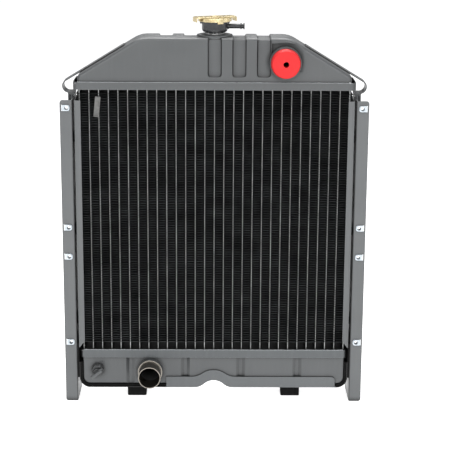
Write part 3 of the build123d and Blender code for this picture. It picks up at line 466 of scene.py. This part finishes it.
# ---------------------------------------------------------------- new pieces, laid out in millimetres
TUBE_PITCH, TUBE_COLUMNS = 16.0, 29
TUBE_ROWS = (-20.5, 0.0, 20.5)
SLOT_HALF_WIDE, SLOT_HALF_DEEP = 1.15, 8.6     # the slot in a fin round each flat tube
FIN_PITCH, FIN_COUNT = 4.23, 103
FIN_SHEET = 0.4
FIN_WAVES = (4.7, 8.0, 11.3)                   # where a fin bends between two tubes
INNER_BEND = 0.3                               # how far its inside follows its edges' bends
FIN_END_GAP, FIN_EDGE_GAP = 0.3, 0.1           # the fins stay this far inside the pack's ends and faces
WIRE_SIDES, STEPS_PER_TURN = 8, 28
BEAD_SIDES = 6


def new_piece(name, points, faces, material, body="root", smooth=True):
    """A mesh from points in millimetres, which moves with the body."""
    mesh = bpy.data.meshes.new(name)
    mesh.from_pydata([Vector(p) * MM for p in points], [], faces)
    mesh.validate()
    for face in mesh.polygons:
        face.use_smooth = smooth
    mesh.materials.append(material)
    piece = bpy.data.objects.new(name, mesh)
    bpy.context.scene.collection.objects.link(piece)
    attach(piece, body)
    return piece


def fin_lines(low, high):
    """The X and Y places of a fin's points, each with whether a tube's slot starts there."""
    lanes = [(column - (TUBE_COLUMNS - 1) / 2) * TUBE_PITCH for column in range(TUBE_COLUMNS)]
    across = [(low.x + FIN_END_GAP, False)]
    for lane in lanes:
        across += [(lane - SLOT_HALF_WIDE, True), (lane + SLOT_HALF_WIDE, False)]
        if lane < lanes[-1]:
            across += [(lane + wave, False) for wave in FIN_WAVES]
    across.append((high.x - FIN_END_GAP, False))
    deep = [(low.y + FIN_EDGE_GAP, False)]
    for row in TUBE_ROWS:
        deep += [(row - SLOT_HALF_DEEP, True), (row + SLOT_HALF_DEEP, False)]
    deep.append((high.y - FIN_EDGE_GAP, False))
    return across, deep


def add_fins(material):
    """Thin fin plates with slots for the tubes; their edges wander a little, as handled fins do."""
    low, high = (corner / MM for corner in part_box("fin_pack"))
    across, deep = fin_lines(low, high)
    rows = len(deep)
    start = (low.z + high.z) / 2 - FIN_PITCH * (FIN_COUNT - 1) / 2
    points, faces = [], []
    for plate in range(FIN_COUNT):
        level = start + plate * FIN_PITCH + random.gauss(0, 0.07)
        tilt = random.gauss(0, 0.12)
        first = len(points)
        for x, _ in across:
            bend = random.gauss(0, 0.22)
            set_back = abs(random.gauss(0, 0.12))
            for row, (y, _) in enumerate(deep):
                edge = row in (0, rows - 1)
                inward = set_back if row == 0 else -set_back if edge else 0
                sag = bend if edge else bend * INNER_BEND
                points.append((x, y + inward, level + sag + tilt * x / high.x))
        for i in range(len(across) - 1):
            for j in range(rows - 1):
                if across[i][1] and deep[j][1]:
                    continue
                a = first + i * rows + j
                faces.append((a, a + rows, a + rows + 1, a + 1))
    fins = new_piece("fins", points, faces, material, smooth=False)
    sheet = fins.modifiers.new("sheet", "SOLIDIFY")
    sheet.thickness = FIN_SHEET * MM
    sheet.offset = 0
    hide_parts("fin_pack")


def beads(name, routes, thickness, material):
    """Hand-laid solder along each closed or open route: a six-sided tube of uneven thickness."""
    points, faces = [], []
    for route, closed in routes:
        first, count = len(points), len(route)
        for i, place in enumerate(route):
            before = route[(i - 1) % count if closed else max(i - 1, 0)]
            after = route[(i + 1) % count if closed else min(i + 1, count - 1)]
            side = (Vector(after) - Vector(before)).cross(Vector((0, 0, 1))).normalized()
            radius = thickness * random.uniform(0.75, 1.15)
            for turn in range(BEAD_SIDES):
                angle = math.radians(360 / BEAD_SIDES * turn)
                reach = math.cos(angle) * side + Vector((0, 0, math.sin(angle)))
                points.append(Vector(place) + radius * reach)
        for i in range(count if closed else count - 1):
            here, there = first + BEAD_SIDES * i, first + BEAD_SIDES * ((i + 1) % count)
            for turn in range(BEAD_SIDES):
                onward = (turn + 1) % BEAD_SIDES
                faces.append((here + turn, there + turn, there + onward, here + onward))
    new_piece(name, points, faces, material)


def add_solder(grey, bright):
    """Solder along both headers' rims, lumps at their ends, and a ring at the filler throat's foot."""
    steps, lump_steps, ring_steps = 150, 6, 36
    seam_y, lump_y, ring_radius, end_gap = 35.5, 34.4, 14.4, 8
    seams, lumps = [], []
    for header in (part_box("top_header"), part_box("bottom_header")):
        half, rim = header[1].x / MM - end_gap, header[1].z / MM
        for side in (-1, 1):
            line = [(-half + 2 * half * i / steps, side * seam_y, rim + 0.2 + random.gauss(0, 0.12))
                    for i in range(steps + 1)]
            seams.append((line, False))
            for end in (-1, 1):
                lump = [(end * (half - 4 + 1.6 * i), side * (lump_y - 0.06 * i * i), rim - 0.4 * i)
                        for i in range(lump_steps)]
                lumps.append((lump, False))
    beads("header_solder", seams, 0.6, grey)
    beads("corner_solder", lumps, 1.7, bright)
    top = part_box("neck_saddle")[1].z / MM
    angles = [math.radians(360 / ring_steps * i) for i in range(ring_steps)]
    ring = [(ring_radius * math.cos(angle), ring_radius * math.sin(angle), top + 0.4) for angle in angles]
    beads("throat_solder", [(ring, True)], 1.3, bright)


def add_spring(name, node, body, radius, wire, turns, material):
    """A coil in place of the CAD spring, which rides on its valve.
    """
    low, high = (corner.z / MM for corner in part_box(node))
    steps, sides = STEPS_PER_TURN * turns, WIRE_SIDES
    points, faces = [], []
    for step in range(steps + 1):
        angle = math.tau * turns * step / steps
        level = low + wire / 2 + (high - low - wire) * step / steps
        for corner in range(sides):
            lean = math.tau * corner / sides
            reach = radius + wire / 2 * math.cos(lean)
            height = level + wire / 2 * math.sin(lean)
            points.append((reach * math.cos(angle), reach * math.sin(angle), height))
    for step in range(steps):
        for corner in range(sides):
            a, b = step * sides + corner, step * sides + (corner + 1) % sides
            faces.append((a, a + sides, b + sides, b))
    faces += [tuple(range(sides)), tuple(steps * sides + corner for corner in reversed(range(sides)))]
    coil = new_piece(name, points, faces, material, body)
    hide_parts(node)
    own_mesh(coil)


# ---------------------------------------------------------------- the scene
add_camera()
add_lights()
add_floor()
MATERIALS = make_materials()
dress_nodes(MATERIALS)
add_fins(MATERIALS["core_black"])
add_solder(enamel("solder_paint", shade(GREY, 4.0)),
           plated("solder", (0.45, 0.45, 0.45), 0.4, (0.6, 0.6, 0.6)))
add_spring("pressure_coil", "pressure_spring", "pressure_valve",
           radius=12.0, wire=2.0, turns=5, material=MATERIALS["spring_steel"])
add_spring("vacuum_coil", "vacuum_spring", "vacuum_valve_set",
           radius=2.6, wire=0.5, turns=3, material=MATERIALS["spring_steel"])
